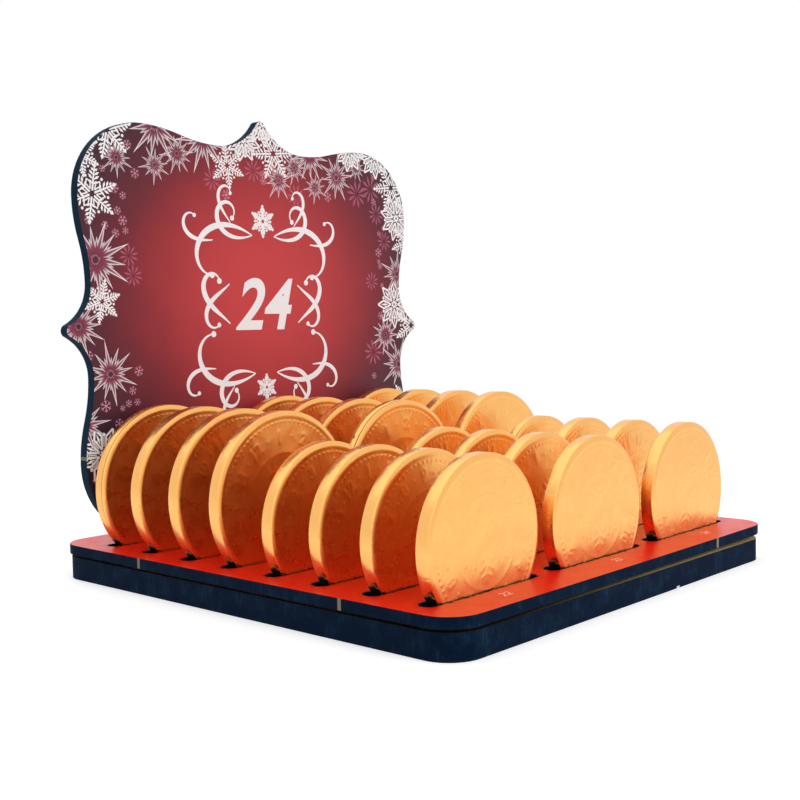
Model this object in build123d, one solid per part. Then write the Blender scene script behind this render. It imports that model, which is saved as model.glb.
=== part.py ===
"""Chocolate coin advent calendar: 24 foil-wrapped chocolate coins standing in a slotted two-board base.

Millimetres. X runs across the base, Y from front to back, Z up. The origin is in the middle of the
base's underside. Day 1 is at the back left and day 24 at the front right.
"""
import os
from math import sqrt

from build123d import *

os.makedirs("parts", exist_ok=True)

# Coins: the four front rows hold small coins and the rows behind them large ones
small_coin_diameter = 39.2
large_coin_diameter = 44.6
coin_thickness = 4.0
coin_shoulder_width = 1.2
coin_shoulder_drop = 0.35

# Foil: a front cup whose skirt is folded down outside the skirt of a back cup
foil_thickness = 0.1
foil_lap_gap = 0.02
foil_seam_setback = 0.9
foil_back_skirt = 1.6
chocolate_slack = 0.05

# The grid of coins
columns = 3
rows = 8
small_coin_rows = 4
column_gap = 0.4
finger_gap = 12.0
front_margin = 11.2
side_margin = 5.5
back_margin = 6.2

# Base boards, bonded with a gap between them
top_board_thickness = 3.0
lower_board_thickness = 6.0
lower_board_inset = 0.5
base_corner_radius = 8.5
bond_thickness = 0.4
bond_strip_width = 3.0
bond_strip_share = 0.6

# Slots: a coin stands on the square ends of the short slot in the lower board
slot_side_clearance = 0.2
slot_end_room = 2.9
small_coin_foot_height = 0.5
large_coin_foot_height = 2.0
seat_gap = 0.2

# Plaque, measured from its middle: shoulders, dips between them, and a point on each of four sides
plaque_thickness = 3.0
plaque_front_gap = 5.6
plaque_shoulder_reach = 65.9
plaque_shoulder_rise = 58.1
plaque_shoulder_radius = 21.3
plaque_top_dip = 3.6
plaque_top_dip_reach = 17.2
plaque_side_dip = 3.3
plaque_side_dip_rise = 13.0
plaque_top_point = 5.5
plaque_side_point = 4.7
plaque_point_round = 1.8
plaque_slot_clearance = 0.2
plaque_seat_gap = 0.15

# How far the discs that trim the foil cups reach past them
cut_overrun = 1.0

# Heights
top_board_bottom = lower_board_thickness + bond_thickness
base_height = top_board_bottom + top_board_thickness

# Coin middles
small_radius = small_coin_diameter / 2
large_radius = large_coin_diameter / 2
coin_heights = {small_radius: small_coin_foot_height + small_radius,
                large_radius: large_coin_foot_height + large_radius}


def seat_length(radius):
    """Length of a coin's short slot, whose ends are the seat gap away from the coin's rim."""
    return 2 * sqrt((radius + seat_gap) ** 2 - (coin_heights[radius] - lower_board_thickness) ** 2)


# The long slot clears the large coin where the coin crosses the top board
slot_width = coin_thickness + 2 * slot_side_clearance
large_half_chord = sqrt(large_radius ** 2 - (coin_heights[large_radius] - base_height) ** 2)
slot_length = 2 * (large_half_chord + slot_end_room)

# The grid and the base around it
column_pitch = large_coin_diameter + column_gap
row_pitch = coin_thickness + finger_gap
base_width = (columns - 1) * column_pitch + slot_length + 2 * side_margin
first_row_setback = front_margin + coin_thickness / 2
last_row_setback = first_row_setback + (rows - 1) * row_pitch
plaque_front_setback = last_row_setback + coin_thickness / 2 + plaque_front_gap
base_depth = plaque_front_setback + plaque_thickness + back_margin
front_edge = -base_depth / 2
plaque_back = front_edge + plaque_front_setback + plaque_thickness

# The plaque stands on its two lower shoulders, and its lower point plugs into the base
plaque_middle_height = base_height + plaque_seat_gap + plaque_shoulder_rise


def point_arc(dip_reach, rise):
    """Radius of the hollow arc beside a point, and where it meets the rounded tip.

    dip_reach is from the point's axis to the lowest place of the dip, and rise from there to the tip.
    """
    lift = rise - plaque_point_round
    radius = (dip_reach ** 2 + lift ** 2 - plaque_point_round ** 2) / (2 * rise)
    share = plaque_point_round / (plaque_point_round + radius)
    return radius, dip_reach * share, lift + (radius - lift) * share


top_rise = plaque_top_dip + plaque_top_point
side_rise = plaque_side_dip + plaque_side_point
top_dip_height = plaque_shoulder_rise - plaque_top_dip
top_tip_height = plaque_shoulder_rise + plaque_top_point
side_dip_reach = plaque_shoulder_reach - plaque_side_dip
side_tip_reach = plaque_shoulder_reach + plaque_side_point
top_hollow_radius, top_join_reach, top_join_rise = point_arc(plaque_top_dip_reach, top_rise)
side_hollow_radius, side_join_reach, side_join_rise = point_arc(plaque_side_dip_rise, side_rise)

# The plaque's slot takes the lower point where it is widest in the base
point_height_at_base = plaque_shoulder_rise + plaque_seat_gap
hollow_height = top_dip_height + top_hollow_radius
hollow_reach_at_base = sqrt(top_hollow_radius ** 2 - (hollow_height - point_height_at_base) ** 2)
point_half_width = plaque_top_dip_reach - hollow_reach_at_base
plaque_slot_length = 2 * (point_half_width + plaque_slot_clearance)
plaque_slot_width = plaque_thickness + 2 * plaque_slot_clearance
plaque_slot_y = plaque_back - plaque_thickness / 2


def midpoint(a, b):
    return ((a[0] + b[0]) / 2, (a[1] + b[1]) / 2)


def plaque_quarter():
    """Upper right quarter of the plaque's outline, as tangent arcs from the top tip to the side tip."""
    top_tip = (0, top_tip_height)
    top_join = (top_join_reach, top_dip_height + top_join_rise)
    top_dip = (plaque_top_dip_reach, top_dip_height)
    shoulder_top = (plaque_shoulder_reach - plaque_shoulder_radius, plaque_shoulder_rise)
    shoulder_side = (plaque_shoulder_reach, plaque_shoulder_rise - plaque_shoulder_radius)
    side_dip = (side_dip_reach, plaque_side_dip_rise)
    side_join = (side_dip_reach + side_join_rise, side_join_reach)
    side_tip = (side_tip_reach, 0)
    right, left, up, down = (1, 0), (-1, 0), (0, 1), (0, -1)
    return Curve() + [
        TangentArc(top_tip, top_join, tangent=right),
        TangentArc(top_dip, top_join, tangent=left),
        TangentArc(top_dip, midpoint(top_dip, shoulder_top), tangent=right),
        TangentArc(shoulder_top, midpoint(top_dip, shoulder_top), tangent=left),
        TangentArc(shoulder_top, shoulder_side, tangent=right),
        TangentArc(shoulder_side, midpoint(shoulder_side, side_dip), tangent=down),
        TangentArc(side_dip, midpoint(shoulder_side, side_dip), tangent=up),
        TangentArc(side_dip, side_join, tangent=down),
        TangentArc(side_tip, side_join, tangent=up),
    ]


def back_plaque():
    quarter = plaque_quarter()
    half = quarter + mirror(quarter, Plane.YZ)
    outline = half + mirror(half, Plane.XZ)
    board = extrude(make_face(outline), plaque_thickness)
    return Pos(0, plaque_back, plaque_middle_height) * Rot(X=90) * board


def coin_places():
    """Day, X, Y and radius of each coin, from the back left to the front right."""
    places = []
    for row in reversed(range(rows)):
        radius = small_radius if row < small_coin_rows else large_radius
        for column in range(columns):
            x = (column - (columns - 1) / 2) * column_pitch
            y = front_edge + first_row_setback + row * row_pitch
            places.append((x, y, radius))
    return [(day, *place) for day, place in enumerate(places, start=1)]


def base_board(inset, thickness, bottom, coin_slots):
    """A round-cornered board with a slot for each coin and one for the plaque's lower point."""
    outline = RectangleRounded(base_width - 2 * inset, base_depth - 2 * inset, base_corner_radius - inset)
    plaque_slot = Rectangle(plaque_slot_length, plaque_slot_width)
    slots = [Pos(x, y) * coin_slots[radius] for _, x, y, radius in coin_places()]
    slots.append(Pos(0, plaque_slot_y) * plaque_slot)
    return Pos(0, 0, bottom) * extrude(outline - slots, thickness)


def bond_strips():
    """Adhesive strips between the boards, one beside each column of slots and at the outer margins."""
    outermost = base_width / 2 - lower_board_inset - bond_strip_width
    lines = [column_pitch * (line - columns / 2) for line in range(columns + 1)]
    strip = Box(bond_strip_width, base_depth * bond_strip_share, bond_thickness,
                align=(Align.CENTER, Align.CENTER, Align.MIN))
    return [Pos(max(-outermost, min(outermost, x)), 0, lower_board_thickness) * strip for x in lines]


def coin_blank(radius, skin, front, back):
    """A disc about the Y axis with sloping shoulders and its rim skin further in.

    front and back are the distances of its faces from the middle.
    """
    rim = radius - skin
    field = radius - coin_shoulder_width
    drop = (rim - field) * coin_shoulder_drop / coin_shoulder_width
    profile = Polyline((0, -front), (field, -front), (rim, drop - front),
                       (rim, back - drop), (field, back), (0, back), close=True)
    return revolve(make_face(profile), Axis.Y)


def band(radius, low, high):
    """A disc about the Y axis from low to high, to keep part of a coin's thickness."""
    disc = Cylinder(radius + cut_overrun, high - low, align=(Align.CENTER, Align.CENTER, Align.MIN))
    return Pos(0, high, 0) * Rot(X=90) * disc


def coin_foil(radius):
    """Front and back foil cups: two solids, the back cup's skirt inside the front cup's."""
    face = coin_thickness / 2
    seam = face - foil_seam_setback
    lap = foil_thickness + foil_lap_gap
    front = coin_blank(radius, 0, face, face) - coin_blank(radius, foil_thickness, face - foil_thickness, face)
    front_cup = front & band(radius, -face, seam)
    back = (coin_blank(radius, lap, face, face)
            - coin_blank(radius, lap + foil_thickness, face, face - foil_thickness))
    back_cup = back & band(radius, face - foil_back_skirt, face)
    return [front_cup, back_cup]


def coin_chocolate(radius):
    """The chocolate disc, which fills the two foil cups with a little slack."""
    face = coin_thickness / 2 - foil_thickness - chocolate_slack
    skin = 2 * foil_thickness + foil_lap_gap + chocolate_slack
    return coin_blank(radius, skin, face, face)


def write(node, solids):
    """Export one node; several separate solids are kept as one group."""
    shape = solids if not isinstance(solids, list) else Compound(children=solids)
    export_step(shape, f"parts/{node}.step")


seats = {radius: Rectangle(seat_length(radius), slot_width) for radius in coin_heights}
coin_slots = {radius: SlotOverall(slot_length, slot_width) for radius in coin_heights}
write("lower_board", base_board(lower_board_inset, lower_board_thickness, 0, seats))
write("slotted_top_board", base_board(0, top_board_thickness, top_board_bottom, coin_slots))
write("bonding_strips", bond_strips())
write("back_plaque", back_plaque())

foils = {radius: coin_foil(radius) for radius in coin_heights}
chocolates = {radius: coin_chocolate(radius) for radius in coin_heights}
for day, x, y, radius in coin_places():
    place = Pos(x, y, coin_heights[radius])
    write(f"coin_{day:02d}_foil", [place * cup for cup in foils[radius]])
    write(f"coin_{day:02d}_chocolate", place * chocolates[radius])

print(f"base {base_width:.2f} x {base_depth:.2f} x {base_height:.2f}")
print(f"slots {slot_length:.2f}, width {slot_width:.2f}, plaque slot {plaque_slot_length:.2f}")
for radius, height in coin_heights.items():
    print(f"coin middle {height:.2f}, short slot {seat_length(radius):.2f}")
print(f"plaque middle {plaque_middle_height:.2f}, top {plaque_middle_height + top_tip_height:.2f}")
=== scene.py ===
"""Looks of the chocolate coin advent calendar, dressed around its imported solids.

Metres, in the solids' own frame: X runs across the base, Y from front to back, Z up. Shapes that are
worked out flat are in millimetres, and MM takes them into the frame.
"""
import functools
import math

import bmesh
import bpy
import numpy as np
from mathutils import Matrix, Vector
from mathutils.geometry import delaunay_2d_cdt


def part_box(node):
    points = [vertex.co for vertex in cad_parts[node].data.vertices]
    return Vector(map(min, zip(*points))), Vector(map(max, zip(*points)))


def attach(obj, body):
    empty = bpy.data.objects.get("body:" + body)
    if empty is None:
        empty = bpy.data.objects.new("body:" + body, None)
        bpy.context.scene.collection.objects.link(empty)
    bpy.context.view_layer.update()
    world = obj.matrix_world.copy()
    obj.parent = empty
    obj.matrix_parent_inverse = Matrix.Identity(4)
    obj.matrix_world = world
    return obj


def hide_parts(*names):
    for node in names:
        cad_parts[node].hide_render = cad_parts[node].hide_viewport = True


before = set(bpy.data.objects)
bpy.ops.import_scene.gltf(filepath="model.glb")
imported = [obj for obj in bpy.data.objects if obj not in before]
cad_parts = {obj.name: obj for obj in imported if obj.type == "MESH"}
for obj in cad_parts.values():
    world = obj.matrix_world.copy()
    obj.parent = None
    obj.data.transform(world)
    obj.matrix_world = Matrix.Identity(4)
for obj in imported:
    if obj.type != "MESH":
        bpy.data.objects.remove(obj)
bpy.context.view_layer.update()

MM = 0.001

# Camera at the photograph's viewing angle
CAMERA_PLACE = (-0.244445, -0.215697, 0.067192)
CAMERA_YAW = math.radians(47.834)
CAMERA_PITCH = math.radians(3.579)
CAMERA_ROLL = math.radians(-1.083)
CAMERA_LENS = 52.83
CAMERA_SENSOR = 36
CAMERA_CLIP = 0.01

# Boards, in millimetres
EDGE_CHAMFER = 0.12
OUTLINE_STEP = 0.8
FLAT_STEP = 4.0
TOP_BOARD_THICKNESS = 2.65
TOP_BOARD_LIFT = 0.6
SOOT_REACH = 3.0
SOOT_RINGS = (0.3, 0.8, 1.6)

# Day numbers, in millimetres
DAYS = range(1, 25)
DAY_HEIGHT = 2.5
DAY_SETBACK = 6.7
DAY_SHEAR = 0.35
DAY_WEIGHT = 0.015

# Places and sizes of the uncharred tab marks and the chip on the edges, in metres
TAB_SIDE_PLACES = (33.4 * MM, -39.0 * MM)
TAB_SIDE_SIZE = (2 * MM, 1.1 * MM, 4 * MM)
TAB_FRONT_PLACE = 39.5 * MM
TAB_FRONT_SIZE = (1.2 * MM, 2 * MM, 4 * MM)
TAB_PLAQUE_HEIGHT = 32.7 * MM
TAB_PLAQUE_SIZE = (12 * MM, 4 * MM, 1.0 * MM)
CHIP_PLACE = 19.2 * MM
CHIP_HEIGHT = 0.1 * MM
CHIP_SIZE = (1.6 * MM, 1 * MM, 0.9 * MM)

# Painted shade on the lower board's bare top, seen in the gap under the top board, darkest at the left where
# the gap is narrowest, fades out between these places across it, in metres
GAP_SHADE_START = -60 * MM
GAP_SHADE_END = 45 * MM

# The floor turns plain white between these distances from the object, in metres
FLOOR_NEAR = 0.15
FLOOR_FAR = 0.45
FLOOR_REACH = 4
FLOOR_DROP = 0.00005
FLOOR_GLOW = 0.4

# The world's light on surfaces, where the camera and mirrors see 1
WORLD_LEVEL = 0.55

# Lamps: name, place in metres, width, power, and whether the foil mirrors it
LAMPS = (
    ("key", (-0.9, -0.7, 1.0), 2.0, 4.5, True),
    ("top", (-0.05, 0.5, 1.3), 2.0, 4.4, True),
    ("front", (0.2, -1.3, 0.7), 1.2, 9.0, False),
    ("back", (0.3, 1.3, 0.6), 1.2, 5.0, False),
)
LAMP_AIM = (0, 0, 0.04)

# Plaque print, in millimetres from the plaque's lowest point
PRINT_CENTRE_HEIGHT = 71.0
PRINT_HALF_WIDTH = 36.0
PRINT_HALF_HEIGHT = 30.0
PRINT_FOOT = 22
PRINT_SEED = 11
PRINT_TRIES = 60
NUMBER_HEIGHT = 16.0
NUMBER_SHEAR = 0.25
NUMBER_WEIGHT = 0.02
SCROLL_STEPS = 36

# Flourish strokes: start across and up, heading, length, bend at start and end, thick and thin width
FLOURISH_STROKES = (
    (4.5, 0.0, 0.5, 36, -0.035, -0.2, 1.9, 0.4),
    (4.5, 0.0, -0.35, 30, 0.05, 0.42, 1.6, 0.35),
    (13.0, 3.5, 0.9, 17, -0.02, 0.62, 1.2, 0.3),
    (20.0, -2.0, -0.1, 19, 0.02, 0.5, 1.3, 0.35),
)

# The plaque's red ground: how far it reaches before it is dark, and its middle's lift
GLOW_HALF_WIDTH = 66 * MM
GLOW_HALF_HEIGHT = 58 * MM
GLOW_LIFT = 4

# Coins, in millimetres
COIN_SHOULDER_WIDTH = 1.35
COIN_SHOULDER_DROP = 0.35
COIN_SHOULDER_BEND = 1.5
COIN_EDGE_ROUND = 0.15
COIN_OUT_OF_ROUND = 0.05
COIN_FIELD_DEPTH = 0.1
COIN_SEAM_SETBACK = 0.4
COIN_SEAM_DEPTH = 0.1
COIN_SEAM_WIDTH = 0.18
# Heights above the board, in millimetres, over which the painted shade at the foot of the rim fades out
FOOT_SHADE_RISE = (0.9, 2.3)

# Relief of the coins, in millimetres, but for rings and the flake's reach, which are shares of the radius
FIELD_SLOPE = 0.9
BEAD_SETBACK = 1.3
BEAD_PITCH = 1.5
BEAD_HEIGHT = 0.075
BEAD_RADIUS = 0.48
STAMP_HEIGHT = 0.05
NUMERAL_RING = 0.71
NUMERAL_HEIGHT = 3.0
NUMERAL_STROKE = 0.36
NUMERAL_ROOM = (3.4, 2.6)
STUD_RADIUS = 0.5
LINE_RING = 0.53
LINE_HEIGHT = 0.03
LINE_WIDTH = 0.35
FLAKE_REACH = 0.44
FLAKE_HEIGHT = 0.04
FLAKE_STROKE = 0.6
CREASE_HEIGHT = 0.0015
PLEAT_HEIGHT = 0.04

# How finely coins are made, and how many kinds, of which the first shows its seam
COIN_SECTORS = 480
COIN_FIRST_RING = 0.12
COIN_RING_STEP = 0.23
COIN_SHOULDER_RINGS = 10
COIN_WALL_RINGS = 9
COIN_TRIANGLES = 30000
COIN_VARIANTS = 4
COIN_SEED = 40
SEAMED_DAYS = (1, 11, 15)
TURN_SEED = 5


def srgb(red, green, blue):
    """Linear colour with alpha, from screen values of 0 to 255."""
    share = np.array([red, green, blue]) / 255
    linear = np.where(share <= 0.04045, share / 12.92, ((share + 0.055) / 1.055) ** 2.4)
    return (*linear.tolist(), 1.0)


RED_PRINT = srgb(228, 22, 12)
CHAR = srgb(2, 20, 42)
CHAR_DUST = srgb(26, 54, 76)
PLAQUE_CHAR = srgb(20, 44, 62)
# Black of the soot round the slots, also used for painted shade on the lower board's top and at the coins'
# feet
SOOT_AND_SHADE = srgb(8, 5, 5)
BARE_BOARD = srgb(194, 178, 134)
BARE_BOARD_DARK = srgb(160, 138, 98)
GOLD = (0.95, 0.495, 0.15, 1.0)
GOLD_DEEP = (0.91, 0.4, 0.11, 1.0)
# Painted shade in the groove of the foil's seam
FOIL_SEAM_SHADE = (0.3, 0.1, 0.03, 1.0)
CHOCOLATE = srgb(58, 30, 18)
CHOCOLATE_DARK = srgb(40, 20, 12)
GLUE = srgb(50, 40, 34)
GLUE_DARK = srgb(30, 24, 22)
TAB_MARK = srgb(128, 124, 98)
CHIP = srgb(206, 214, 218)
DAY_INK = srgb(244, 178, 168)
INK_WHITE = srgb(253, 250, 252)
INK_BLUSH = srgb(214, 150, 170)
INK_PINK = srgb(190, 104, 132)
INK_ROSE = srgb(110, 34, 56)
PLAQUE_RED = srgb(206, 70, 72)
PLAQUE_WINE = srgb(134, 40, 50)
PLAQUE_DARK = srgb(50, 36, 48)

# Gloss of the charred edges, the bare board, the red face, the plaque's face and the foil
CHAR_SPECULAR = 0.05
CHAR_ROUGHNESS = 0.7
BARE_ROUGHNESS = 0.85
RED_SPECULAR = 0.35
RED_ROUGHNESS = (0.28, 0.35)
PLAQUE_SPECULAR = 0.25
PLAQUE_ROUGHNESS = 0.42
FOIL_ROUGHNESS = 0.25
FOIL_METAL = 0.98
FOIL_SPECULAR = 0.1


# Shader nodes

class Shader:
    """A material and short ways to add nodes to it."""

    def __init__(self, name):
        self.material = bpy.data.materials.new(name)
        self.material.use_nodes = True
        self.tree = self.material.node_tree
        self.surface = self.tree.nodes["Principled BSDF"]
        self.place = self.add("TexCoord").outputs["Object"]

    def add(self, kind, inputs=(), **settings):
        node = self.tree.nodes.new("ShaderNode" + kind)
        for name, value in settings.items():
            setattr(node, name, value)
        for socket, value in dict(inputs).items():
            self.feed(node.inputs[socket], value)
        return node

    def feed(self, socket, value):
        if isinstance(value, bpy.types.NodeSocket):
            self.tree.links.new(value, socket)
        else:
            socket.default_value = value

    def finish(self, **inputs):
        """Sets the surface's inputs, such as base_color=..., and returns the material."""
        for name, value in inputs.items():
            self.feed(self.surface.inputs[name.replace("_", " ").title().replace("Ior", "IOR")], value)
        return self.material

    def math(self, operation, first, second=0.0):
        return self.add("Math", {0: first, 1: second}, operation=operation).outputs[0]

    def vector(self, operation, *inputs):
        return self.add("VectorMath", dict(enumerate(inputs)), operation=operation)

    def attribute(self, name):
        return self.add("Attribute", attribute_name=name).outputs["Fac"]

    def mix(self, first, second, factor):
        return self.add("Mix", {0: factor, 6: first, 7: second}, data_type="RGBA").outputs[2]

    def blend(self, value, low, high, start=0.0, end=1.0):
        """Value between low and high, taken smoothly to start and end."""
        inputs = {"Value": value, "From Min": low, "From Max": high, "To Min": start, "To Max": end}
        return self.add("MapRange", inputs, interpolation_type="SMOOTHSTEP").outputs[0]

    def noise(self, scale, detail, stretch=(1, 1, 1), roughness=0.5):
        """Noise with scale grains a metre, stretched along the axes."""
        place = self.add("Mapping", {"Vector": self.place, "Scale": stretch}).outputs[0]
        inputs = {"Vector": place, "Scale": scale, "Detail": detail, "Roughness": roughness}
        return self.add("TexNoise", inputs).outputs[0]

    def bump(self, height, distance, strength):
        inputs = {"Height": height, "Distance": distance, "Strength": strength}
        return self.add("Bump", inputs).outputs[0]

    def axis(self, vector, name):
        return self.add("SeparateXYZ", {0: vector}).outputs[name]

    def spot(self, centre, size):
        """1 inside a box of that size around centre, else 0."""
        offset = self.vector("SUBTRACT", self.place, centre).outputs[0]
        reach = self.vector("MULTIPLY", offset, [2 / side for side in size]).outputs[0]
        near = self.vector("ABSOLUTE", reach).outputs[0]
        parts = self.add("SeparateXYZ", {0: near}).outputs
        widest = self.math("MAXIMUM", self.math("MAXIMUM", parts[0], parts[1]), parts[2])
        return self.blend(widest, 0.8, 1.1, 1.0, 0.0)


def charred_colour(shader, char=CHAR):
    """Dark laser-cut edge: upright scorch lines and a little dust."""
    lines = shader.noise(1500, 3, (1, 1, 0.12))
    patches = shader.noise(220, 4, roughness=0.65)
    dust = shader.math("MULTIPLY", shader.blend(lines, 0.4, 0.8, 0.25, 1.0), shader.blend(patches, 0.4, 0.75))
    return shader.mix(char, CHAR_DUST, dust), lines


def charred_edge(name, spots, char=CHAR):
    """spots are (centre, size) of the places where a tab left the board's own colour."""
    shader = Shader(name)
    colour, lines = charred_colour(shader, char)
    for centre, size in spots:
        colour = shader.mix(colour, TAB_MARK, shader.spot(centre, size))
    return shader.finish(base_color=colour, roughness=CHAR_ROUGHNESS, specular_ior_level=CHAR_SPECULAR,
                         normal=shader.bump(lines, 0.04 * MM, 0.5))


def bare_board_colour(shader):
    grain = shader.noise(2600, 4, roughness=0.65)
    cloud = shader.noise(60, 2)
    fibres = shader.mix(BARE_BOARD_DARK, BARE_BOARD, shader.blend(grain, 0.35, 0.65))
    return shader.mix(fibres, BARE_BOARD, shader.blend(cloud, 0.3, 0.7, 0.0, 0.6)), grain


def bare_board(name):
    shader = Shader(name)
    colour, grain = bare_board_colour(shader)
    return shader.finish(base_color=colour, roughness=BARE_ROUGHNESS,
                         normal=shader.bump(grain, 0.06 * MM, 0.5))


def lower_board_material(spots):
    """Bare faces with painted shade on top, darker towards the left, and charred edges and slot walls. spots
    are the places of chips.
    """
    shader = Shader("lower_board")
    normal = shader.add("NewGeometry").outputs["Normal"]
    upright = shader.math("ABSOLUTE", shader.axis(normal, "Z"))
    wall = shader.blend(upright, 0.4, 0.6, 1.0, 0.0)
    char, lines = charred_colour(shader)
    for centre, size in spots:
        char = shader.mix(char, CHIP, shader.spot(centre, size))
    board, grain = bare_board_colour(shader)
    # Painted shade: the top, seen only in the gap under the top board, is darkened towards the left, where
    # the gap is narrowest
    gap_shade = shader.blend(shader.axis(shader.place, "X"), GAP_SHADE_START, GAP_SHADE_END, 0.96, 0.0)
    above = shader.blend(shader.axis(normal, "Z"), 0.4, 0.6)
    board = shader.mix(board, SOOT_AND_SHADE, shader.math("MULTIPLY", gap_shade, above))
    relief = shader.math("ADD", shader.math("MULTIPLY", lines, wall), grain)
    roughness = shader.blend(wall, 0, 1, BARE_ROUGHNESS, CHAR_ROUGHNESS)
    return shader.finish(base_color=shader.mix(board, char, wall), roughness=roughness,
                         specular_ior_level=CHAR_SPECULAR, normal=shader.bump(relief, 0.04 * MM, 0.5))


def ink_over(shader, ground):
    """The printed colour, kept on the mesh, over the ground colour."""
    ink = shader.add("Attribute", attribute_name="ink")
    return shader.mix(ground, ink.outputs["Color"], ink.outputs["Alpha"])


def red_print():
    """Glossy red print with soot round the slots."""
    shader = Shader("red_print")
    colour = ink_over(shader, RED_PRINT)
    distance = shader.attribute("slot_distance")
    ragged = shader.noise(420, 4, roughness=0.7)
    reach = shader.blend(ragged, 0.35, 0.75, 0.05, 1.1)
    black = shader.blend(shader.math("DIVIDE", distance, reach), 0.5, 1.1, 1.0, 0.0)
    haze = shader.blend(distance, 0.0, 2.2, 0.25, 0.0)
    sooty = shader.math("MAXIMUM", black, haze)
    colour = shader.mix(colour, SOOT_AND_SHADE, sooty)
    fine = shader.noise(3000, 2)
    roughness = shader.blend(shader.noise(200, 3), 0.3, 0.7, *RED_ROUGHNESS)
    roughness = shader.math("ADD", roughness, shader.math("MULTIPLY", black, 0.35))
    return shader.finish(base_color=colour, roughness=roughness, specular_ior_level=RED_SPECULAR,
                         normal=shader.bump(fine, 0.01 * MM, 0.3))


def plaque_print(middle):
    """Red in the middle, fading to dark wine at the shoulders and above the coins."""
    shader = Shader("plaque_print")
    offset = shader.vector("SUBTRACT", shader.place, middle).outputs[0]
    scale = (1 / GLOW_HALF_WIDTH, 0, 1 / GLOW_HALF_HEIGHT)
    reach = shader.vector("MULTIPLY", offset, scale).outputs[0]
    radius = shader.vector("LENGTH", reach).outputs["Value"]
    mottle = shader.math("MULTIPLY", shader.math("SUBTRACT", shader.noise(120, 4), 0.5), 0.12)
    radius = shader.math("ADD", radius, mottle)
    ground = shader.mix(PLAQUE_RED, PLAQUE_WINE, shader.blend(radius, 0.1, 0.95))
    ground = shader.mix(ground, PLAQUE_DARK, shader.blend(radius, 0.5, 1.25))
    fine = shader.noise(3000, 2)
    return shader.finish(base_color=ink_over(shader, ground), roughness=PLAQUE_ROUGHNESS,
                         specular_ior_level=PLAQUE_SPECULAR, normal=shader.bump(fine, 0.01 * MM, 0.3))


def gold_foil():
    """Thin gold foil, with painted shade in its seam's groove and at the foot of the rim, where it goes down
    into the slot.
    """
    shader = Shader("gold_foil")
    ragged = shader.blend(shader.noise(700, 3), 0.3, 0.7, -0.5, 0.5)
    rise = shader.math("ADD", shader.attribute("rise"), ragged)
    along = shader.math("ABSOLUTE", shader.axis(shader.add("NewGeometry").outputs["Normal"], "Y"))
    wall = shader.blend(along, 0.5, 0.8, 1.0, 0.0)
    # Painted shade where the rim goes down into the dark slot: black, dull and not metallic at the foot of
    # the rim's wall
    foot_shade = shader.math("MULTIPLY", shader.blend(rise, *FOOT_SHADE_RISE, 1.0, 0.0), wall)
    cloud = shader.noise(260, 3)
    micro = shader.noise(900, 4, roughness=0.6)
    colour = shader.mix(GOLD, GOLD_DEEP, shader.blend(cloud, 0.4, 0.75, 0.0, 0.15))
    # Painted shade in the seam's groove, where the fold layer is 1
    colour = shader.mix(colour, FOIL_SEAM_SHADE, shader.attribute("fold"))
    colour = shader.mix(colour, SOOT_AND_SHADE, foot_shade)
    roughness = shader.blend(cloud, 0.3, 0.7, FOIL_ROUGHNESS, FOIL_ROUGHNESS + 0.08)
    roughness = shader.math("ADD", roughness, shader.math("MULTIPLY", foot_shade, 0.7))
    metallic = shader.blend(foot_shade, 0, 1, FOIL_METAL, 0.0)
    return shader.finish(base_color=colour, metallic=metallic, roughness=roughness,
                         specular_ior_level=FOIL_SPECULAR, normal=shader.bump(micro, 0.02 * MM, 0.06))


def plain_finish(name, light, dark, roughness, grain):
    shader = Shader(name)
    cloud = shader.noise(grain, 4)
    colour = shader.mix(light, dark, shader.blend(cloud, 0.3, 0.7))
    return shader.finish(base_color=colour, roughness=roughness, normal=shader.bump(cloud, 0.03 * MM, 0.4))


# Meshes

def link(piece):
    bpy.context.scene.collection.objects.link(piece)
    return piece


def point_layer(mesh, name, values):
    """Keeps a value for each point on the mesh, for its material."""
    layer = mesh.attributes.new(name, "FLOAT", "POINT")
    layer.data.foreach_set("value", values.astype(np.float32))


def face_loops(node, axis, side):
    """Closed loops round the flat face on one side of a solid's box, largest first, in millimetres."""
    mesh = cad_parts[node].data
    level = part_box(node)[side][axis]
    kept = [index for index in range(3) if index != axis]
    step = {}
    for polygon in mesh.polygons:
        corners = [mesh.vertices[index].co for index in polygon.vertices]
        if any(abs(corner[axis] - level) > 0.001 * MM for corner in corners):
            continue
        ring = [tuple(round(corner[index] / MM, 4) for index in kept) for corner in corners]
        for first, second in zip(ring, ring[1:] + ring[:1]):
            if step.get(second) and first in step[second]:
                step[second].remove(first)
            else:
                step.setdefault(first, set()).add(second)
    loops = []
    while any(step.values()):
        start = next(point for point, ends in step.items() if ends)
        loop = [start]
        while step[loop[-1]]:
            loop.append(step[loop[-1]].pop())
        loops.append(np.array(loop[:-1]))
    return sorted(loops, key=lambda loop: -abs(signed_area(loop)))


def signed_area(loop):
    following = np.roll(loop, -1, axis=0)
    return float((loop[:, 0] * following[:, 1] - loop[:, 1] * following[:, 0]).sum() / 2)


def turned(loop, sign):
    """The loop, counter-clockwise for sign 1 and clockwise for -1."""
    return loop if signed_area(loop) * sign > 0 else loop[::-1]


def even_steps(loop, step):
    """The loop with points added on its long edges."""
    points = []
    for first, second in zip(loop, np.roll(loop, -1, axis=0)):
        count = max(1, math.ceil(np.linalg.norm(second - first) / step))
        points.extend(first + (second - first) * index / count for index in range(count))
    return np.array(points)


def side_step(loop, distance):
    """The loop moved to its left by the distance."""
    edge = np.roll(loop, -1, axis=0) - loop
    edge /= np.linalg.norm(edge, axis=1)[:, None]
    both = edge + np.roll(edge, 1, axis=0)
    both /= np.linalg.norm(both, axis=1)[:, None]
    return loop + distance * np.column_stack([-both[:, 1], both[:, 0]])


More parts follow.
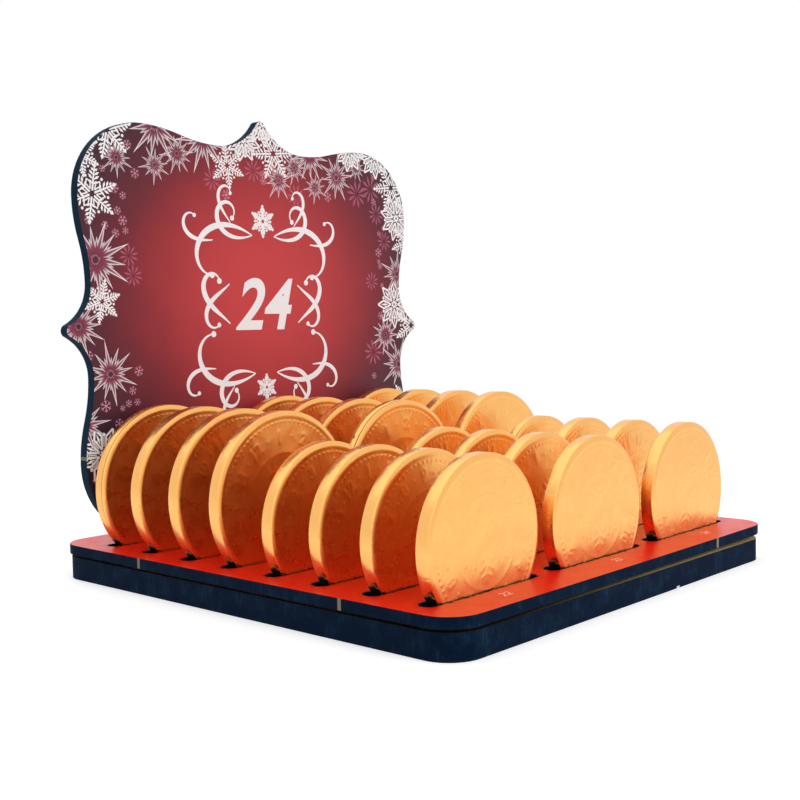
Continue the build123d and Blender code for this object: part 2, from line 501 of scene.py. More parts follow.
def inside(points, shape):
    """Which of the points lie in a closed shape."""
    after = np.roll(shape, -1, axis=0)
    across, up = points[:, None, 0], points[:, None, 1]
    rise = np.where(after[:, 1] == shape[:, 1], 1, after[:, 1] - shape[:, 1])
    crossing = shape[:, 0] + (up - shape[:, 1]) / rise * (after[:, 0] - shape[:, 0])
    crossed = ((shape[:, 1] > up) != (after[:, 1] > up)) & (across < crossing)
    return crossed.sum(1) % 2 == 1


def flat_mesh(loops, prints=(), spare=()):
    """Triangles of the area between an outer loop and its holes, cut along printed shapes.

    Returns the points, the triangles and for each triangle the number of the topmost print, or -1.
    """
    points, sides = [], []
    for shape in [*loops, *prints]:
        first, count = len(points), len(shape)
        sides.extend((first + index, first + (index + 1) % count) for index in range(count))
        points.extend(Vector(point) for point in shape)
    points.extend(Vector(point) for point in spare)
    solved = delaunay_2d_cdt(points, sides, [], 0, 1e-5, False)
    points, triangles = np.array([tuple(point) for point in solved[0]]), np.array(solved[2])
    middles = points[triangles].mean(1)

    def covered(shape):
        low, high = shape.min(0), shape.max(0)
        near = np.flatnonzero(((middles > low) & (middles < high)).all(1))
        return np.concatenate([part[inside(middles[part], shape)]
                               for part in np.array_split(near, 1 + len(near) // 2000)])

    kept = np.zeros(len(triangles), bool)
    kept[covered(loops[0])] = True
    for hole in loops[1:]:
        kept[covered(hole)] = False
    numbers = np.full(len(triangles), -1)
    for number, shape in enumerate(prints):
        numbers[covered(shape)] = number
    used, corners = np.unique(triangles[kept], return_inverse=True)
    return points[used], corners.reshape(-1, 3), numbers[kept]


def rim_loops(triangles):
    """Loops of point numbers round the triangles, with the triangles on their left."""
    edges = dict.fromkeys((int(first), int(second)) for triangle in triangles
                          for first, second in zip(triangle, np.roll(triangle, -1)))
    step = {first: second for first, second in edges if (second, first) not in edges}
    loops = []
    while step:
        first = next(iter(step))
        loop = [first]
        while step[loop[-1]] != first:
            loop.append(step.pop(loop[-1]))
        step.pop(loop[-1])
        loops.append(loop)
    return loops


def grid_points(low, high, step):
    """A staggered grid of points between two corners."""
    rows = np.arange(low[1] + step / 2, high[1], step * 0.87)
    return [(x, y) for number, y in enumerate(rows)
            for x in np.arange(low[0] + step / 2 * (1 + number % 2), high[0], step)]


def cut_board(name, loops, prints, ink, spare, place, depth, materials):
    """A board cut from sheet, with a printed front face.

    place(points, depth) takes flat points into the frame. ink(number, points) gives the colour of a
    print at points. materials are those of the front, the cut edges and the back.
    """
    inner = [side_step(loop, EDGE_CHAMFER) for loop in loops]
    points, triangles, numbers = flat_mesh(inner, prints, spare)
    rims = rim_loops(triangles)
    back_points, back_triangles, _ = flat_mesh(
        sorted((points[rim] for rim in rims), key=lambda loop: -abs(signed_area(loop))))
    board = bmesh.new()
    colour = board.loops.layers.float_color.new("ink")

    def add(corners, faces, material, colours=None):
        for index, face in enumerate(faces):
            made = board.faces.new([corners[number] for number in face])
            made.material_index = material
            for number, corner in enumerate(made.loops):
                corner[colour] = colours[index, number] if colours is not None else (0, 0, 0, 0)

    colours = np.zeros((len(triangles), 3, 4))
    for number in set(numbers) - {-1}:
        chosen = numbers == number
        colours[chosen] = ink(number, points[triangles[chosen]])
    add([board.verts.new(corner) for corner in place(points, 0)], triangles, 0, colours)
    for rim in rims:
        edge = points[rim]
        outer = side_step(edge, -EDGE_CHAMFER)
        rings = [(edge, 0), (outer, EDGE_CHAMFER), (outer, depth - EDGE_CHAMFER), (edge, depth)]
        count = len(edge)
        corners = [board.verts.new(corner) for ring, height in rings for corner in place(ring, height)]
        add(corners, [(count * row + (index + 1) % count, count * row + index,
                       count * (row + 1) + index, count * (row + 1) + (index + 1) % count)
                      for row in range(len(rings) - 1) for index in range(count)], 1)
    add([board.verts.new(corner) for corner in place(back_points, depth)], back_triangles[:, ::-1], 2)
    bmesh.ops.remove_doubles(board, verts=board.verts, dist=0.0005 * MM)
    mesh = bpy.data.meshes.new(name)
    board.to_mesh(mesh)
    board.free()
    for material in materials:
        mesh.materials.append(material)
    return link(bpy.data.objects.new(name, mesh))


def shown_mesh(holder):
    """The mesh that the object shows, in place of the object."""
    graph = bpy.context.evaluated_depsgraph_get()
    mesh = bpy.data.meshes.new_from_object(holder.evaluated_get(graph))
    bpy.data.objects.remove(holder)
    return mesh


def glyphs(text, height, shear=0.0, weight=0.0):
    """The filled faces of a plain number, in millimetres, with its middle at zero."""
    curve = bpy.data.curves.new("glyphs", "FONT")
    curve.body = text
    curve.shear = shear
    curve.offset = weight
    curve.align_x = "CENTER"
    mesh = shown_mesh(link(bpy.data.objects.new("glyphs", curve)))
    points = np.array([vertex.co[:2] for vertex in mesh.vertices])
    low, high = points.min(0), points.max(0)
    points = (points - (low + high) / 2) * height / (high[1] - low[1])
    faces = [points[list(polygon.vertices)] for polygon in mesh.polygons]
    bpy.data.curves.remove(curve)
    bpy.data.meshes.remove(mesh)
    return faces


def repaint(node, material):
    """Gives the solid's own mesh the material."""
    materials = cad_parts[node].data.materials
    materials.clear()
    materials.append(material)


# Base boards

def warp(x, y):
    """How far the top board's sheet stands off its flat place, as it has lifted at the front right."""
    across = x / (top_high.x - top_low.x) + 0.5
    forward = 0.5 - y / (top_high.y - top_low.y)
    return TOP_BOARD_LIFT * MM * forward * across ** 2


def top_board():
    """The red printed board with its slots, its day numbers and a little lift at the front right."""
    outline, *holes = face_loops("slotted_top_board", 2, 1)
    loops = [turned(outline, 1)] + [turned(hole, -1) for hole in holes]
    loops = [even_steps(loop, OUTLINE_STEP) for loop in loops]
    prints = []
    for day, (middle, _, _) in coins.items():
        digits = glyphs(str(day), DAY_HEIGHT, DAY_SHEAR, DAY_WEIGHT)
        prints.extend(face + (middle.x / MM, middle.y / MM - DAY_SETBACK) for face in digits)
    rings = [side_step(loop, reach) for loop in loops[1:] for reach in SOOT_RINGS]
    spare = [point for ring in rings for point in ring[::2]]
    spare += grid_points(loops[0].min(0), loops[0].max(0), FLAT_STEP)
    level = top_high.z

    def place(flat, depth):
        return [(x * MM, y * MM, level - depth * MM + warp(x * MM, y * MM)) for x, y in flat]

    half_way = level - TOP_BOARD_THICKNESS / 2 * MM
    spots = [((top_low.x, y, half_way), TAB_SIDE_SIZE) for y in TAB_SIDE_PLACES]
    spots.append(((TAB_FRONT_PLACE, top_low.y, half_way), TAB_FRONT_SIZE))
    materials = [red_print(), charred_edge("top_board_edge", spots), bare_board("top_board_underside")]
    board = cut_board("top_board", loops, prints, lambda number, at: DAY_INK, spare, place,
                      TOP_BOARD_THICKNESS, materials)
    slots = np.concatenate(loops[1:])
    flat = np.array([vertex.co[:2] for vertex in board.data.vertices]) / MM
    distance = np.concatenate([np.linalg.norm(part[:, None] - slots, axis=2).min(1)
                               for part in np.array_split(flat, 1 + len(flat) // 2000)])
    point_layer(board.data, "slot_distance", np.minimum(distance, SOOT_REACH))
    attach(board, "base")
    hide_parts("slotted_top_board")


def base():
    """The lower board and the bonding strips keep their solids' own meshes."""
    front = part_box("lower_board")[0].y
    chip = ((CHIP_PLACE, front, CHIP_HEIGHT), CHIP_SIZE)
    repaint("lower_board", lower_board_material([chip]))
    repaint("bonding_strips", plain_finish("glue", GLUE, GLUE_DARK, 0.45, 300))
    top_board()


# Print on the plaque

def ring_points(middle, radius, count):
    angles = np.arange(count) * 2 * math.pi / count
    return np.array(middle) + radius * np.column_stack([np.cos(angles), np.sin(angles)])


def bar(start, end, start_width, end_width):
    """A straight stroke that changes width."""
    start, end = np.array(start, float), np.array(end, float)
    along = (end - start) / np.linalg.norm(end - start)
    side = np.array([-along[1], along[0]]) / 2
    return np.array([start - side * start_width, end - side * end_width,
                     end + side * end_width, start + side * start_width])


def kite(start, end, width, belly=0.5):
    """A pointed leaf from start to end, widest at the belly's share of its length."""
    start, end = np.array(start, float), np.array(end, float)
    along = (end - start) / np.linalg.norm(end - start)
    side = np.array([-along[1], along[0]]) * width / 2
    middle = start + (end - start) * belly
    return np.array([start, middle - side, end, middle + side])


def band(corners, width):
    """Strokes along the sides of a closed shape."""
    return [bar(first, second, width, width) for first, second in zip(corners, np.roll(corners, -1, axis=0))]


def spun(shapes, count, start):
    """Copies of the shapes turned about zero."""
    copies = []
    for index in range(count):
        angle = start + index * 2 * math.pi / count
        turn = np.array([[math.cos(angle), math.sin(angle)], [-math.sin(angle), math.cos(angle)]])
        copies.extend(shape @ turn for shape in shapes)
    return copies


def fern_flake(reach, line):
    """Six feathered arms and a ring of small leaves between them."""
    arm = [bar((reach * 0.1, 0), (reach * 0.86, 0), line * 1.3, line * 0.8),
           kite((reach * 0.8, 0), (reach, 0), line * 2.4)]
    for share, length in ((0.3, 0.2), (0.44, 0.27), (0.58, 0.24), (0.72, 0.16)):
        for side in (1, -1):
            tip = (reach * (share + length * 0.62), side * reach * length * 0.78)
            arm.append(kite((reach * share, 0), tip, line * 1.5, 0.6))
    between = band(kite((reach * 0.16, 0), (reach * 0.5, 0), reach * 0.17, 0.6), line * 0.8)
    between.append(ring_points((reach * 0.6, 0), line * 0.9, 7))
    return spun(arm, 6, math.pi / 2) + spun(between, 6, math.pi / 3)


def doily_flake(reach, line):
    """Eight pierced petals with studs between their tips and a small rosette in the middle."""
    petal = kite((reach * 0.2, 0), (reach, 0), reach * 0.34, 0.55)
    arm = band(petal, line * 1.5)
    arm.append(kite((reach * 0.38, 0), (reach * 0.82, 0), reach * 0.1, 0.5))
    arm += [kite((reach * 0.52, side * reach * 0.05), (reach * 0.6, side * reach * 0.15), line * 1.4)
            for side in (1, -1)]
    between = [ring_points((reach * 0.72, 0), line * 1.3, 7),
               bar((reach * 0.3, 0), (reach * 0.64, 0), line * 0.7, line * 0.7)]
    rosette = [kite((reach * 0.03, 0), (reach * 0.2, 0), line * 2.0)]
    return spun(arm, 8, 0.0) + spun(between, 8, math.pi / 8) + spun(rosette, 8, math.pi / 8)


def frost_burst(reach, rays, width, rng):
    """Long pointed rays round an open middle; the width is a share of their full one."""
    shapes = []
    for index in range(rays):
        angle = 2 * math.pi * index / rays + rng.uniform(-0.05, 0.05)
        length = reach * (1.0, 0.55, 0.82, 0.5)[index % 4] * rng.uniform(0.92, 1.0)
        heading = np.array([math.cos(angle), math.sin(angle)])
        tip = heading * length * (0.7 + 0.3 * width)
        shapes.append(kite(heading * reach * 0.07, tip, reach * 0.15 * width, 0.3))
    return shapes


def petal_flake(reach):
    """A small soft flake of ten narrow petals."""
    return spun([kite((reach * 0.14, 0), (reach, 0), reach * 0.2, 0.62)], 10, 0.0)


def crumb_flake(reach):
    """A tiny six-armed flake."""
    arm = [bar((0, 0), (reach, 0), reach * 0.13, reach * 0.1)]
    arm += [bar((reach * 0.55, 0), (reach * 0.85, side * reach * 0.3), reach * 0.1, reach * 0.08)
            for side in (1, -1)]
    return spun(arm, 6, math.pi / 2)


def scroll(start, heading, length, bend, end_bend):
    """Points of a curl whose bend, in radians a millimetre, changes smoothly from start to end."""
    share = (np.arange(SCROLL_STEPS) + 0.5) / SCROLL_STEPS
    angle = heading + np.cumsum((bend + (end_bend - bend) * share ** 1.6) * length / SCROLL_STEPS)
    step = np.column_stack([np.cos(angle), np.sin(angle)]) * length / SCROLL_STEPS
    return np.vstack([start, np.array(start) + np.cumsum(step, axis=0)])


def pen_stroke(points, thick, thin):
    """A pen stroke along the points, thick in between and thin at its ends, the last with a drop."""
    share = np.linspace(0, 1, len(points))
    width = thin + (thick - thin) * np.sin(math.pi * share) ** 1.3
    heading = np.gradient(points, axis=0)
    heading /= np.linalg.norm(heading, axis=1)[:, None]
    side = np.column_stack([-heading[:, 1], heading[:, 0]]) * width[:, None] / 2
    left, right = points + side, points - side
    shapes = [np.array([right[i], right[i + 1], left[i + 1], left[i]]) for i in range(len(points) - 1)]
    return shapes + [ring_points(points[-1], thick * 0.5, 12)]


def mirrored(shapes):
    return shapes + [shape * (-1, 1) for shape in shapes]


def flourish(lift, side):
    """A wide mirrored flourish; side 1 opens upwards and -1 downwards."""
    strokes = []
    for across, up, heading, length, bend, end_bend, thick, thin in FLOURISH_STROKES:
        line = scroll((across, lift + side * up), side * heading, length, side * bend, side * end_bend)
        strokes += pen_stroke(line, thick, thin)
    return mirrored(strokes)


def centre_ornament(height):
    """White flourishes above and below the plain number 24."""
    shapes = flourish(21.0, 1) + flourish(-21.5, -1)
    shapes += mirrored(pen_stroke(scroll((14.0, -6.0), 0.7, 25, -0.03, 0.44), 1.8, 0.4)
                       + pen_stroke(scroll((14.0, 6.0), -0.7, 21, 0.04, -0.46), 1.5, 0.4))
    shapes += glyphs("24", NUMBER_HEIGHT, NUMBER_SHEAR, NUMBER_WEIGHT)
    shapes += [shape + (0, 25.5) for shape in fern_flake(5.2, 0.5)]
    shapes += [shape + (0, -26.0) for shape in fern_flake(4.4, 0.45)]
    return [shape + (0, height) for shape in shapes]


def faded(colour, alpha):
    return (*colour[:3], alpha)


def plaque_motifs(outline):
    """Flakes and bursts strewn round the border: (shapes, middle, reach, inner colour, outer colour)."""
    rng = np.random.default_rng(PRINT_SEED)
    placed, motifs = [], []

    def strew(count, reaches, insets, crowding, draw):
        """insets bound the distance inside the outline, and draw(reach) gives a motif's layers."""
        for _ in range(count):
            for _ in range(PRINT_TRIES):
                reach = rng.uniform(*reaches)
                index = rng.integers(len(outline))
                spot = side_step(outline, rng.uniform(*insets))[index]
                middle = abs(spot[0]) < PRINT_HALF_WIDTH + reach * 0.8
                middle = middle and abs(spot[1] - PRINT_CENTRE_HEIGHT) < PRINT_HALF_HEIGHT + reach * 0.5
                clear = all(np.hypot(*(spot - other)) > crowding * (reach + span) for other, span in placed)
                if clear and not middle and spot[1] > PRINT_FOOT:
                    break
            else:
                continue
            placed.append((spot, reach))
            turn = rng.uniform(0, math.pi)
            for shapes, inner, outer in draw(reach):
                motifs.append(([shape + spot for shape in spun(shapes, 1, turn)], spot, reach, inner, outer))

    def burst(reach):
        """Wine rays over white ones that are wider and longer."""
        rays = int(rng.integers(5, 8)) * 4
        seed = rng.integers(1 << 30)
        wine, white = (frost_burst(reach, rays, width, np.random.default_rng(seed)) for width in (0.5, 1.0))
        return [(wine, faded(INK_ROSE, 0.95), INK_PINK), (white, faded(INK_WHITE, 0.4), INK_WHITE)]

    def plain(flake, colour, *line):
        return lambda reach: [(flake(reach, *line), colour, colour)]

    strew(5, (8.5, 10.0), (-1.0, 5.0), 1.0, plain(fern_flake, INK_WHITE, 0.5))
    strew(11, (9.0, 13.0), (-2.0, 7.5), 0.72, burst)
    strew(9, (6.5, 8.5), (-2.0, 6.0), 0.6, plain(doily_flake, INK_WHITE, 0.42))
    strew(8, (6.0, 8.0), (-2.0, 6.0), 0.55, plain(fern_flake, INK_WHITE, 0.42))
    strew(8, (5.0, 7.5), (-1.0, 12.0), 0.5, burst)
    strew(16, (3.2, 4.8), (4.0, 15.0), 0.7, plain(petal_flake, faded(INK_PINK, 0.7)))
    strew(44, (0.9, 1.8), (0.5, 15.0), 0.72, plain(crumb_flake, INK_BLUSH))
    return motifs


def plaque():
    """The printed plaque, whose prints are drawn over each other in the order of the list."""
    low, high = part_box("back_plaque")
    foot = low.z / MM
    outline = even_steps(turned(face_loops("back_plaque", 1, 0)[0], 1), OUTLINE_STEP) - (0, foot)
    prints, paints = [], []
    for shapes, middle, reach, inner, outer in reversed(plaque_motifs(outline)):
        prints.extend(shapes)
        paints.extend([(middle, reach, np.array(inner), np.array(outer))] * len(shapes))
    for shape in centre_ornament(PRINT_CENTRE_HEIGHT):
        prints.append(shape)
        paints.append((np.zeros(2), 1.0, np.array(INK_WHITE), np.array(INK_WHITE)))

    def ink(number, at):
        middle, reach, inner, outer = paints[number]
        share = np.clip(np.linalg.norm(at - middle, axis=2) / reach, 0, 1)[..., None]
        return inner + (outer - inner) * share

    def place(flat, depth):
        return [(x * MM, low.y + depth * MM, (z + foot) * MM) for x, z in flat]

    tab = (low.x + TAB_PLAQUE_SIZE[0] / 2, (low.y + high.y) / 2, TAB_PLAQUE_HEIGHT)
    glow = (0, low.y, (foot + PRINT_CENTRE_HEIGHT + GLOW_LIFT) * MM)
    edge = charred_edge("plaque_edge", [(tab, TAB_PLAQUE_SIZE)], PLAQUE_CHAR)
    materials = [plaque_print(glow), edge, bare_board("plaque_back")]
    spare = grid_points(outline.min(0), outline.max(0), FLAT_STEP)
    board = cut_board("printed_plaque", [outline], prints, ink, spare, place,
                      (high.y - low.y) / MM, materials)
    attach(board, "plaque")
    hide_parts("back_plaque")


# Coins

def ridge(distance, width):
    """A rounded ridge, 1 on its line and 0 at the width from it."""
    return np.clip(1 - (distance / width) ** 2, 0, 1) ** 2


def segment_distance(points, segments):
    """Distance from each point to the nearest segment."""
    start = segments[:, 0]
    along = segments[:, 1] - start
    reach = points[:, None] - start
    share = np.clip((reach * along).sum(-1) / np.maximum((along ** 2).sum(-1), 1e-12), 0, 1)
    return np.linalg.norm(reach - share[..., None] * along, axis=-1).min(1)


@functools.cache
def glyph_outline(text, height):
    """Segments round a plain number."""
    sides = {}
    for face in glyphs(text, height):
        ring = [tuple(np.round(point, 4)) for point in face]
        for first, second in zip(ring, ring[1:] + ring[:1]):
            if (second, first) in sides:
                del sides[(second, first)]
            else:
                sides[(first, second)] = True
    return np.array(list(sides))


def flake_lines(reach):
    """One arm of a raised snowflake, as segments on one side of its axis."""
    lines = [((0, 0), (reach, 0))]
    for share, length in ((0.34, 0.24), (0.56, 0.30), (0.78, 0.20)):
        tip = (reach * (share + length * 0.5), reach * length * 0.87)
        lines.append(((reach * share, 0), tip))
    return np.array(lines)


def creases(x, z, rng, count, reach, length, sharp, girth=None, tilt=None):
    """Sharp random folds. x repeats every girth if given, and tilt keeps them near the z axis."""
    height = np.zeros_like(x)
    for _ in range(count):
        angle = rng.uniform(0, math.pi) if tilt is None else math.pi / 2 + rng.uniform(-tilt, tilt)
        across_x = x - rng.uniform(-reach[0], reach[0])
        across_z = z - rng.uniform(-reach[1], reach[1])
        if girth:
            across_x = (across_x + girth / 2) % girth - girth / 2
        along = across_x * math.cos(angle) + across_z * math.sin(angle)
        across = across_z * math.cos(angle) - across_x * math.sin(angle)
        fold = np.exp(-np.abs(across) / (sharp * rng.uniform(0.5, 1.5)))
        height += rng.uniform(-1, 1) * fold * np.exp(-(along / (length * rng.uniform(0.4, 1.4))) ** 2)
    return height


def coin_relief(x, z, radius, field, rng):
    """Height of a coin's softly stamped face over its shoulder's top, in millimetres, all below zero."""
    reach = np.hypot(x, z)
    angle = np.arctan2(x, z)
    slope = np.clip((field - reach) / FIELD_SLOPE, 0, 1)
    height = -COIN_FIELD_DEPTH * slope * slope * (3 - 2 * slope)
    bead_ring = radius - COIN_SHOULDER_WIDTH - BEAD_SETBACK
    bead_count = round(2 * math.pi * bead_ring / BEAD_PITCH)
    beside_bead = (angle * bead_count / (2 * math.pi) % 1 - 0.5) * 2 * math.pi * bead_ring / bead_count
    height += BEAD_HEIGHT * ridge(np.hypot(reach - bead_ring, beside_bead), BEAD_RADIUS)
    number_ring = radius * NUMERAL_RING
    points = np.column_stack([x.ravel(), z.ravel()])
    raised = np.zeros(len(points))
    for hour in range(1, 13):
        turn = 2 * math.pi * hour / 12
        beside = points[:, 0] * math.cos(turn) - points[:, 1] * math.sin(turn)
        outward = points[:, 0] * math.sin(turn) + points[:, 1] * math.cos(turn) - number_ring
        near = (abs(beside) < NUMERAL_ROOM[0]) & (abs(outward) < NUMERAL_ROOM[1])
        local = np.column_stack([beside[near], outward[near]])
        line = segment_distance(local, glyph_outline(str(hour), NUMERAL_HEIGHT))
        raised[near] = np.maximum(raised[near], ridge(line, NUMERAL_STROKE))
        between = turn + math.pi / 12
        stud = np.hypot(points[:, 0] - number_ring * math.sin(between),
                        points[:, 1] - number_ring * math.cos(between))
        raised = np.maximum(raised, ridge(stud, STUD_RADIUS))
    height += STAMP_HEIGHT * raised.reshape(x.shape)
    height += LINE_HEIGHT * ridge(reach - radius * LINE_RING, LINE_WIDTH)
    fold = np.abs((angle + math.pi / 6) % (math.pi / 3) - math.pi / 6)
    wedge = np.column_stack([(reach * np.cos(fold)).ravel(), (reach * np.sin(fold)).ravel()])
    line = segment_distance(wedge, flake_lines(radius * FLAKE_REACH))
    height += FLAKE_HEIGHT * ridge(line, FLAKE_STROKE).reshape(x.shape)
    within = np.clip((field - reach) / 2, 0, 1)
    height += CREASE_HEIGHT * within * creases(x, z, rng, 40, (radius, radius), 4.5, 0.5)
    return np.minimum(height, -0.01)


def coin_mesh(name, radius, half, seed, seamed, material):
    """A foil-wrapped coin about the Y axis: stamped faces, sloping shoulders and a lightly pleated rim."""
    rng = np.random.default_rng(seed)
    angle = np.arange(COIN_SECTORS) * 2 * math.pi / COIN_SECTORS
    girth = 2 * math.pi * radius
    wall = half - COIN_SHOULDER_DROP - COIN_EDGE_ROUND
    rings = []

    # fold is 1 on the rings of the seam's groove, which get painted shade
    def ring(reach, depth, fold=0.0):
        rings.append((np.broadcast_to(reach, angle.shape), np.broadcast_to(depth, angle.shape), fold))

    def face(sign):
        """Steps from the middle of a face out to the rim."""
        field = radius - COIN_SHOULDER_WIDTH * rng.uniform(0.9, 1.0)
        reach = np.linspace(COIN_FIRST_RING, field, round(field / COIN_RING_STEP))
        grid, turn = np.meshgrid(reach, angle, indexing="ij")
        relief = coin_relief(-sign * grid * np.sin(turn), grid * np.cos(turn), radius, field, rng)
        steps = [(inner, sign * (half + height)) for inner, height in zip(reach, relief)]
        for share in np.linspace(1 / COIN_SHOULDER_RINGS, 1, COIN_SHOULDER_RINGS):
            steps.append((field + share * (radius - COIN_EDGE_ROUND - field),
                          sign * (half - COIN_SHOULDER_DROP * share ** COIN_SHOULDER_BEND)))
        return steps + [(radius - COIN_EDGE_ROUND * 0.3, sign * (wall + COIN_EDGE_ROUND * 0.7))]

    for reach, depth in face(-1):
        ring(reach, depth)
    low, high = -wall, wall
    if seamed:
        wave = sum(rng.uniform(0.01, 0.03) * np.sin(order * angle + rng.uniform(0, 7))
                   for order in (3, 5, 9, 14, 23))
        seam = low + COIN_SEAM_SETBACK + wave
        ring(radius, low)
        ring(radius, seam - 0.05)
        ring(radius - COIN_SEAM_DEPTH, seam, 1.0)
        ring(radius - COIN_SEAM_DEPTH, seam + COIN_SEAM_WIDTH * 0.7, 1.0)
        low = seam + COIN_SEAM_WIDTH
    for share in np.linspace(0, 1, COIN_WALL_RINGS):
        ring(radius, low + (high - low) * share)
    for reach, depth in face(1)[::-1]:
        ring(reach, depth)

    reach = np.array([part[0] for part in rings])
    depth = np.array([part[1] for part in rings])
    seam_shades = np.repeat([part[2] for part in rings], COIN_SECTORS)
    edge = np.clip((reach - radius + COIN_SHOULDER_WIDTH) / COIN_SHOULDER_WIDTH, 0, 1)
    length = np.broadcast_to(angle * radius, depth.shape)
    pleats = creases(length, depth * 0.3, rng, 120, (girth, half), 1.6, 0.12, girth, 0.35)
    flats = sum(rng.uniform(0.3, 1) * np.sin(order * angle + rng.uniform(0, 7))
                for order in (4, 7, 9, 12)) / 4 - 1
    reach = reach + edge * (np.clip(PLEAT_HEIGHT * pleats, -0.06, 0.0) + COIN_OUT_OF_ROUND * flats)
    mesh = turned_mesh(name, reach, depth, angle)
    # The fold layer marks the seam's groove for painted shade
    point_layer(mesh, "fold", np.append(seam_shades, [0, 0]))
    mesh.materials.append(material)
    return thinned(mesh, COIN_TRIANGLES)


def turned_mesh(name, reach, depth, angle):
    """A closed mesh about the Y axis, from a row of reach and depth for each ring, in millimetres."""
    side_points = np.stack([reach * np.sin(angle), depth, reach * np.cos(angle)], axis=-1).reshape(-1, 3)
    caps = np.array([[0, depth[0].mean(), 0], [0, depth[-1].mean(), 0]])
    around = len(angle)
    last = len(side_points) - around
    turn = np.arange(around)
    after = (turn + 1) % around
    ring_starts = np.arange(0, last, around)[:, None]
    first, second = ring_starts + turn, ring_starts + after
    quads = np.stack([first, second, second + around, first + around], axis=-1).reshape(-1, 4)
    front_cap = np.column_stack([np.full(around, len(side_points)), after, turn])
    back_cap = np.column_stack([np.full(around, len(side_points) + 1), last + turn, last + after])
    mesh = bpy.data.meshes.new(name)
    mesh.from_pydata(np.concatenate([side_points, caps]) * MM, [],
                     [*quads.tolist(), *front_cap.tolist(), *back_cap.tolist()])
    return mesh


def mark_rise(mesh, board_top):
    """Keeps on the mesh how far each point is above the board's top, in millimetres, for the painted shade at
    the rim's foot.
    """
    spots = np.empty(len(mesh.vertices) * 3)
    mesh.vertices.foreach_get("co", spots)
    point_layer(mesh, "rise", (spots[2::3] - board_top) / MM)


def thinned(mesh, triangles):
    """The mesh with fewer triangles, most of them kept where it bends."""
    holder = link(bpy.data.objects.new(mesh.name, mesh))
    count = sum(len(polygon.vertices) - 2 for polygon in mesh.polygons)
    modifier = holder.modifiers.new("thin", "DECIMATE")
    modifier.ratio = min(1.0, triangles / count)
    result = shown_mesh(holder)
    result.shade_smooth()
    return result


def wrapped_coins():
    """All coins' foil, from a few kinds of either size that are turned at random."""
    foil = gold_foil()
    chocolate = plain_finish("chocolate", CHOCOLATE, CHOCOLATE_DARK, 0.38, 120)
    sizes = sorted({round(radius / MM, 2) for _, radius, _ in coins.values()})
    half = next(iter(coins.values()))[2] / MM / 2
    variants = {}
    for number, size in enumerate(sizes):
        seeds = range(COIN_SEED + 10 * number, COIN_SEED + 10 * number + COIN_VARIANTS)
        variants[size] = [coin_mesh(f"coin_{number}_{variant}", size, half, seed, variant == 0, foil)
                          for variant, seed in enumerate(seeds)]
    rng = np.random.default_rng(TURN_SEED)
    for day, (middle, radius, _) in coins.items():
        variant = 0 if day in SEAMED_DAYS else rng.integers(1, COIN_VARIANTS)
        mesh = variants[round(radius / MM, 2)][variant].copy()
        mesh.transform(Matrix.Rotation(rng.uniform(0, 2 * math.pi), 4, "Y"))
        mark_rise(mesh, top_high.z - middle.z)
        wrapper = link(bpy.data.objects.new(f"foil_{day:02d}", mesh))
        wrapper.location = middle
        bpy.context.view_layer.update()
        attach(wrapper, f"coin_{day:02d}")
        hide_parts(f"coin_{day:02d}_foil")
        repaint(f"coin_{day:02d}_chocolate", chocolate)


# Studio

def path_factor(tree):
    """1 for rays from the camera and for reflected and transmitted ones."""
    path = tree.nodes.new("ShaderNodeLightPath")
    total = path.outputs["Is Camera Ray"]
    for name in ("Is Glossy Ray", "Is Transmission Ray"):
        highest = tree.nodes.new("ShaderNodeMath")
        highest.operation = "MAXIMUM"
        tree.links.new(total, highest.inputs[0])
        tree.links.new(path.outputs[name], highest.inputs[1])
        total = highest.outputs[0]
    return total


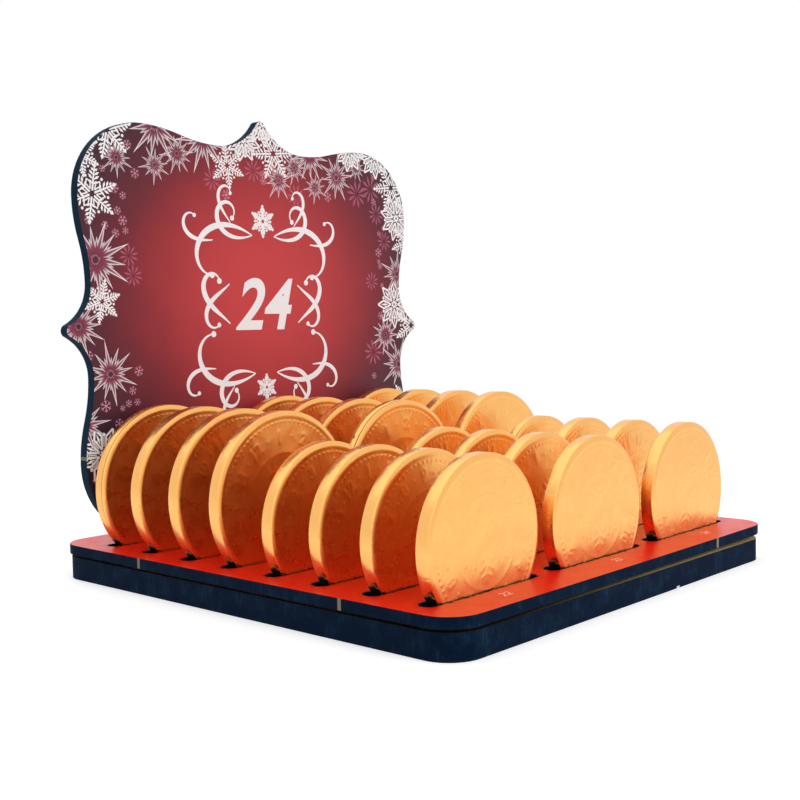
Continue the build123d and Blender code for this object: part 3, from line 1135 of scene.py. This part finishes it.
def studio():
    """White world, white floor that fades out, and four lamps."""
    world = bpy.data.worlds.new("studio")
    bpy.context.scene.world = world
    world.use_nodes = True
    background = world.node_tree.nodes["Background"]
    background.inputs["Color"].default_value = (1, 1, 1, 1)
    level = world.node_tree.nodes.new("ShaderNodeMapRange")
    level.inputs["To Min"].default_value = WORLD_LEVEL
    world.node_tree.links.new(path_factor(world.node_tree), level.inputs["Value"])
    world.node_tree.links.new(level.outputs[0], background.inputs["Strength"])

    floor_mesh = bpy.data.meshes.new("floor")
    corners = [(x * FLOOR_REACH, y * FLOOR_REACH, -FLOOR_DROP)
               for x, y in ((-1, -1), (1, -1), (1, 1), (-1, 1))]
    floor_mesh.from_pydata(corners, [], [(0, 1, 2, 3)])
    floor = link(bpy.data.objects.new("floor", floor_mesh))
    shader = Shader("floor")
    away = shader.vector("LENGTH", shader.place).outputs["Value"]
    far = shader.blend(away, FLOOR_NEAR, FLOOR_FAR)
    colour = shader.mix((0.8, 0.8, 0.8, 1), (0, 0, 0, 1), far)
    floor_mesh.materials.append(shader.finish(base_color=colour, roughness=0.9, specular_ior_level=0.0))
    shader.feed(shader.surface.inputs["Emission Color"], (1, 1, 1, 1))
    glow = shader.blend(away, FLOOR_NEAR, FLOOR_FAR, FLOOR_GLOW, 1.0)
    glow = shader.math("MULTIPLY", path_factor(shader.tree), glow)
    shader.feed(shader.surface.inputs["Emission Strength"], glow)

    for name, place, size, power, mirrored_in_foil in LAMPS:
        lamp = bpy.data.lights.new(name, "AREA")
        lamp.shape = "DISK"
        lamp.size = size
        lamp.energy = power
        holder = link(bpy.data.objects.new(name, lamp))
        holder.location = place
        holder.visible_glossy = mirrored_in_foil
        holder.rotation_euler = (Vector(LAMP_AIM) - Vector(place)).to_track_quat("-Z", "Y").to_euler()


def camera():
    level = math.cos(CAMERA_PITCH)
    forward = Vector((math.sin(CAMERA_YAW) * level, math.cos(CAMERA_YAW) * level, -math.sin(CAMERA_PITCH)))
    right = Vector((math.cos(CAMERA_YAW), -math.sin(CAMERA_YAW), 0))
    up = right.cross(forward)
    rolled_right = right * math.cos(CAMERA_ROLL) + up * math.sin(CAMERA_ROLL)
    rolled_up = up * math.cos(CAMERA_ROLL) - right * math.sin(CAMERA_ROLL)
    eye = link(bpy.data.objects.new("camera", bpy.data.cameras.new("camera")))
    eye.data.lens = CAMERA_LENS
    eye.data.sensor_width = CAMERA_SENSOR
    eye.data.clip_start = CAMERA_CLIP
    turn = Matrix((rolled_right, rolled_up, -forward)).transposed().to_4x4()
    eye.matrix_world = Matrix.Translation(CAMERA_PLACE) @ turn
    bpy.context.scene.camera = eye


# Places from the solids: the middle, radius and thickness of each day's coin
top_low, top_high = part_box("slotted_top_board")
coins = {}
for day in DAYS:
    low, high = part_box(f"coin_{day:02d}_foil")
    coins[day] = ((low + high) / 2, (high.x - low.x) / 2, high.y - low.y)

camera()
studio()
base()
plaque()
wrapped_coins()

bpy.context.scene.view_settings.view_transform = "Standard"
bpy.context.view_layer.update()
